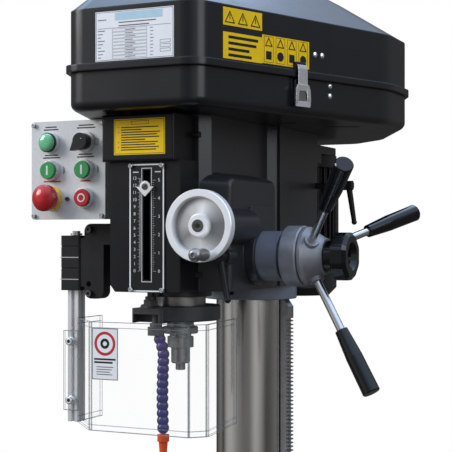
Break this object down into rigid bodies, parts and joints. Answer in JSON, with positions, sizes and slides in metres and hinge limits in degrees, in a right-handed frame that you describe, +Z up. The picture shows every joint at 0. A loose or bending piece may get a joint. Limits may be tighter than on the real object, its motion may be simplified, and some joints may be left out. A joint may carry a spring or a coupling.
{
  "type": "drill press",
  "caption": "Floor-standing pillar drill with belt drive, rack-lift table, capstan and fine feed, coolant line, hinged chuck guard and switch panel.",
  "frame": {"origin": "on the floor under the column's axis", "axes": "+Z up along the column, -Y towards the operator, +X the operator's right"},
  "size_m": [0.5519, 0.84, 1.763],
  "materials": {
    "machine_grey": "semi-gloss enamel",
    "case_black": "satin powder coat",
    "cast_grey": "machined casting",
    "bright_steel": "ground",
    "dark_steel": "oiled",
    "chrome": "polished",
    "aluminium": "turned",
    "black_plastic": "glossy",
    "matte_black": "moulded",
    "rubber": "belt rubber",
    "panel_silver": "silver paint",
    "red_plastic": "glossy",
    "green_plastic": "glossy",
    "grey_plastic": "moulded",
    "clear_plastic": "clear polycarbonate",
    "blue_plastic": "moulded",
    "orange_plastic": "moulded",
    "scale_black": "anodised plate"
  },
  "bodies": {
    "base": {"base_plate": "machine_grey", "column_flange": "machine_grey", "flange_bolts": "bright_steel", "column_tube": "bright_steel", "rack_collar": "cast_grey", "head_casting": "machine_grey", "scale_housing": "matte_black", "scale_plate": "scale_black", "cap_screws": "dark_steel", "feed_sleeve": "cast_grey", "spring_case": "machine_grey", "motor": "case_black", "motor_plate": "machine_grey", "drive_belts": "rubber", "belt_case_pan": "case_black", "control_box": "panel_silver", "control_plate": "panel_silver", "switch_bezels": "grey_plastic", "guard_bracket": "matte_black"},
    "rack": {"table_rack": "dark_steel"},
    "bracket": {"table_bracket": "machine_grey"},
    "table": {"table_arm": "machine_grey", "table_top": "cast_grey"},
    "lift_gear": {"lift_gear": "dark_steel"},
    "crank": {"table_crank": "bright_steel"},
    "crank_grip": {"crank_grip": "black_plastic"},
    "table_lock": {"table_clamp_lever": "dark_steel"},
    "quill": {"quill": "bright_steel", "spindle_bearings": "bright_steel", "quill_collar": "dark_steel", "depth_rod": "dark_steel", "depth_pointer": "aluminium"},
    "spindle": {"spindle": "bright_steel", "arbor": "bright_steel"},
    "hose": {"coolant_hose": "blue_plastic", "coolant_nozzle": "orange_plastic"},
    "capstan": {"feed_shaft": "bright_steel", "clutch_ring": "cast_grey", "capstan_hub": "cast_grey", "lever_rods": "bright_steel", "lever_grips": "black_plastic"},
    "clutch_knob": {"clutch_knob": "black_plastic"},
    "worm_wheel": {"worm_wheel": "dark_steel"},
    "handwheel": {"handwheel": "aluminium", "worm_shaft": "bright_steel"},
    "handwheel_knob": {"handwheel_knob": "aluminium"},
    "quill_lock": {"quill_lock_lever": "matte_black"},
    "motor_lock": {"motor_lock_lever": "matte_black"},
    "spindle_pulley": {"spindle_pulley": "aluminium"},
    "idler_pulley": {"idler_pulley": "aluminium"},
    "motor_pulley": {"motor_pulley": "aluminium"},
    "lid": {"belt_case_lid": "case_black"},
    "latch": {"lid_latch": "chrome"},
    "button_left": {"green_button_left": "green_plastic"},
    "button_right": {"green_button_right": "green_plastic"},
    "button_red": {"red_button": "red_plastic"},
    "stop_button": {"stop_mushroom": "red_plastic"},
    "selector": {"selector_knob": "black_plastic"},
    "guard_bar": {"guard_profile": "aluminium"},
    "guard": {"guard_shield": "clear_plastic"}
  },
  "joints": [
    {"name": "table_swing", "type": "hinge", "parent": "base", "child": "rack", "pos_m": [0, 0, 0.7], "axis": [0, 0, 1], "range_deg": [-180, 180]},
    {"name": "table_lift", "type": "slide", "parent": "rack", "child": "bracket", "axis": [0, 0, -1], "range_m": [-0.27, 0.38]},
    {"name": "table_tilt", "type": "hinge", "parent": "bracket", "child": "table", "pos_m": [0, -0.14, 0.63], "axis": [0, 1, 0], "range_deg": [-45, 45]},
    {"name": "lift_gear_turn", "type": "hinge", "parent": "bracket", "child": "lift_gear", "pos_m": [0.0905, 0, 0.635], "axis": [0, 1, 0], "range_deg": [-780, 1095]},
    {"name": "crank_turn", "type": "hinge", "parent": "bracket", "child": "crank", "pos_m": [0.15, 0, 0.599], "axis": [1, 0, 0], "range_deg": [-15480, 21780]},
    {"name": "crank_grip_spin", "type": "hinge", "parent": "crank", "child": "crank_grip", "pos_m": [0.2, 0, 0.494], "axis": [1, 0, 0], "continuous": true},
    {"name": "table_clamp", "type": "hinge", "parent": "bracket", "child": "table_lock", "pos_m": [-0.104, -0.05, 0.716], "axis": [0, 1, 0], "range_deg": [-50, 30]},
    {"name": "quill_feed", "type": "slide", "parent": "base", "child": "quill", "axis": [0, 0, -1], "range_m": [0, 0.125], "stiffness_N_per_m": 400, "springref_m": -0.5},
    {"name": "spindle_spin", "type": "hinge", "parent": "quill", "child": "spindle", "pos_m": [0, -0.257, 1.25], "axis": [0, 0, 1], "continuous": true},
    {"name": "hose_swivel", "type": "hinge", "parent": "quill", "child": "hose", "pos_m": [-0.013, -0.309, 1.25], "axis": [0, 0, 1], "range_deg": [-45, 45]},
    {"name": "capstan_turn", "type": "hinge", "parent": "base", "child": "capstan", "pos_m": [0.1, -0.207, 1.352], "axis": [1, 0, 0], "range_deg": [0, 435]},
    {"name": "clutch_knob_turn", "type": "hinge", "parent": "capstan", "child": "clutch_knob", "pos_m": [0.23, -0.207, 1.352], "axis": [1, 0, 0], "range_deg": [-30, 180]},
    {"name": "handwheel_turn", "type": "hinge", "parent": "base", "child": "handwheel", "pos_m": [0.092, -0.35, 1.395], "axis": [0, 1, 0], "continuous": true},
    {"name": "worm_wheel_spin", "type": "hinge", "parent": "base", "child": "worm_wheel", "pos_m": [0.092, -0.207, 1.352], "axis": [1, 0, 0], "continuous": true},
    {"name": "handwheel_knob_spin", "type": "hinge", "parent": "handwheel", "child": "handwheel_knob", "pos_m": [0.105, -0.4, 1.356], "axis": [0, 1, 0], "continuous": true},
    {"name": "quill_lock_turn", "type": "hinge", "parent": "base", "child": "quill_lock", "pos_m": [0.092, -0.316, 1.352], "axis": [0, -1, 0], "range_deg": [-35, 60]},
    {"name": "motor_lock_turn", "type": "hinge", "parent": "base", "child": "motor_lock", "pos_m": [0.137, 0.096, 1.467], "axis": [1, 0, 0], "range_deg": [-60, 60]},
    {"name": "spindle_pulley_spin", "type": "hinge", "parent": "base", "child": "spindle_pulley", "pos_m": [0, -0.257, 1.62], "axis": [0, 0, 1], "continuous": true},
    {"name": "idler_pulley_spin", "type": "hinge", "parent": "base", "child": "idler_pulley", "pos_m": [0, -0.03, 1.62], "axis": [0, 0, 1], "continuous": true},
    {"name": "motor_pulley_spin", "type": "hinge", "parent": "base", "child": "motor_pulley", "pos_m": [0, 0.205, 1.62], "axis": [0, 0, 1], "continuous": true},
    {"name": "lid_open", "type": "hinge", "parent": "base", "child": "lid", "pos_m": [0, 0.355, 1.6115], "axis": [-1, 0, 0], "range_deg": [0, 95]},
    {"name": "latch_open", "type": "hinge", "parent": "base", "child": "latch", "pos_m": [0.17909, -0.2214, 1.5675], "axis": [0.3524, 0.9358, 0], "range_deg": [0, 100]},
    {"name": "button_left_press", "type": "slide", "parent": "base", "child": "button_left", "axis": [0, 1, 0], "range_m": [0, 0.004], "stiffness_N_per_m": 500},
    {"name": "button_right_press", "type": "slide", "parent": "base", "child": "button_right", "axis": [0, 1, 0], "range_m": [0, 0.004], "stiffness_N_per_m": 500},
    {"name": "button_red_press", "type": "slide", "parent": "base", "child": "button_red", "axis": [0, 1, 0], "range_m": [0, 0.004], "stiffness_N_per_m": 500},
    {"name": "stop_press", "type": "slide", "parent": "base", "child": "stop_button", "axis": [0, 1, 0], "range_m": [0, 0.005], "stiffness_N_per_m": 800},
    {"name": "selector_turn", "type": "hinge", "parent": "base", "child": "selector", "pos_m": [-0.136, -0.31, 1.522], "axis": [0, 1, 0], "range_deg": [0, 90]},
    {"name": "guard_swing", "type": "hinge", "parent": "base", "child": "guard_bar", "pos_m": [-0.183, -0.252, 1.2], "axis": [0, 0, 1], "range_deg": [-110, 0]},
    {"name": "guard_height", "type": "slide", "parent": "guard_bar", "child": "guard", "axis": [0, 0, 1], "range_m": [-0.03, 0.026]}
  ],
  "couplings": [
    {"joint": "lift_gear_turn", "follows": "table_lift", "rad_per_m": 50},
    {"joint": "crank_turn", "follows": "table_lift", "rad_per_m": 1000},
    {"joint": "capstan_turn", "follows": "quill_feed", "rad_per_m": 60.606},
    {"joint": "worm_wheel_spin", "follows": "handwheel_turn", "ratio": 0.025},
    {"joint": "spindle_pulley_spin", "follows": "spindle_spin", "ratio": 1},
    {"joint": "idler_pulley_spin", "follows": "spindle_spin", "ratio": 0.75},
    {"joint": "motor_pulley_spin", "follows": "spindle_spin", "ratio": 0.71875}
  ]
}
